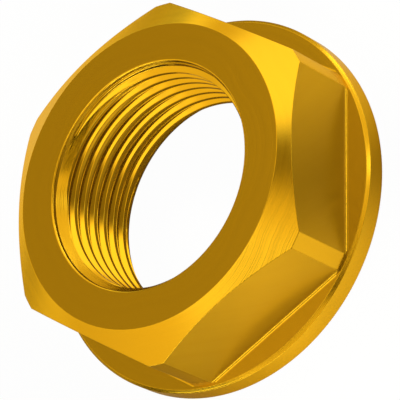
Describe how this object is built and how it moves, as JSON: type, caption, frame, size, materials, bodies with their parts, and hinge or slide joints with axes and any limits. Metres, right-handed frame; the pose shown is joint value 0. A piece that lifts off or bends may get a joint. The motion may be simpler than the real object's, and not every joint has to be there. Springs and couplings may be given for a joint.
{
  "type": "axle nut",
  "caption": "Flanged hexagon nut with a turned cone nose and a fine metric thread, for a wheel axle; gold anodised aluminium.",
  "frame": {"origin": "centre of the bearing face, on the thread's axis", "axes": "+Z along the thread from the bearing face to the nose; +X through two opposite corners of the hexagon"},
  "size_m": [0.0371, 0.037, 0.0119],
  "materials": {
    "gold_anodised": "gold anodised, satin, with fine turning marks on the nose and a smooth milled look on the flats"
  },
  "bodies": {
    "root": {"axle_nut": "gold_anodised"}
  },
  "joints": []
}
